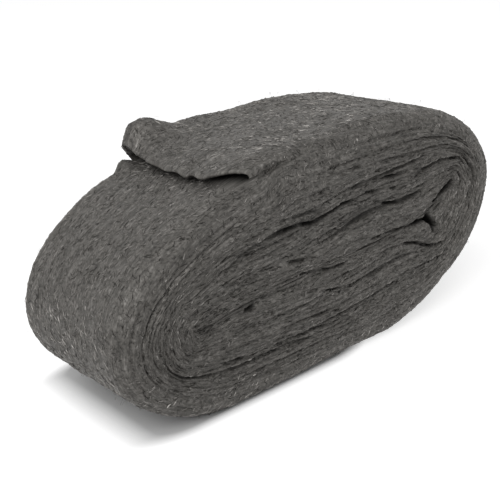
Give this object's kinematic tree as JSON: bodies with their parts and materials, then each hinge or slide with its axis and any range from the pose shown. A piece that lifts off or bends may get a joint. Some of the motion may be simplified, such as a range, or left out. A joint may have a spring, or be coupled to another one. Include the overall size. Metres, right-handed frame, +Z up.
{
  "type": "steel wool pad",
  "caption": "Pad of fine steel wool: one ribbon of steel fibres wound flat into an oval roll, with its loose end lying on top.",
  "frame": {"origin": "on the bench, under the middle of the roll's length and width", "axes": "+X along the roll's long side, towards its thicker end, +Y along the ribbon's width, towards the curled corner of the loose end, +Z up"},
  "size_m": [0.2095, 0.073, 0.1006],
  "materials": {
    "steel_wool": "matt, fibrous, dark grey"
  },
  "bodies": {
    "root": {"steel_wool_roll": "steel_wool"}
  },
  "joints": []
}
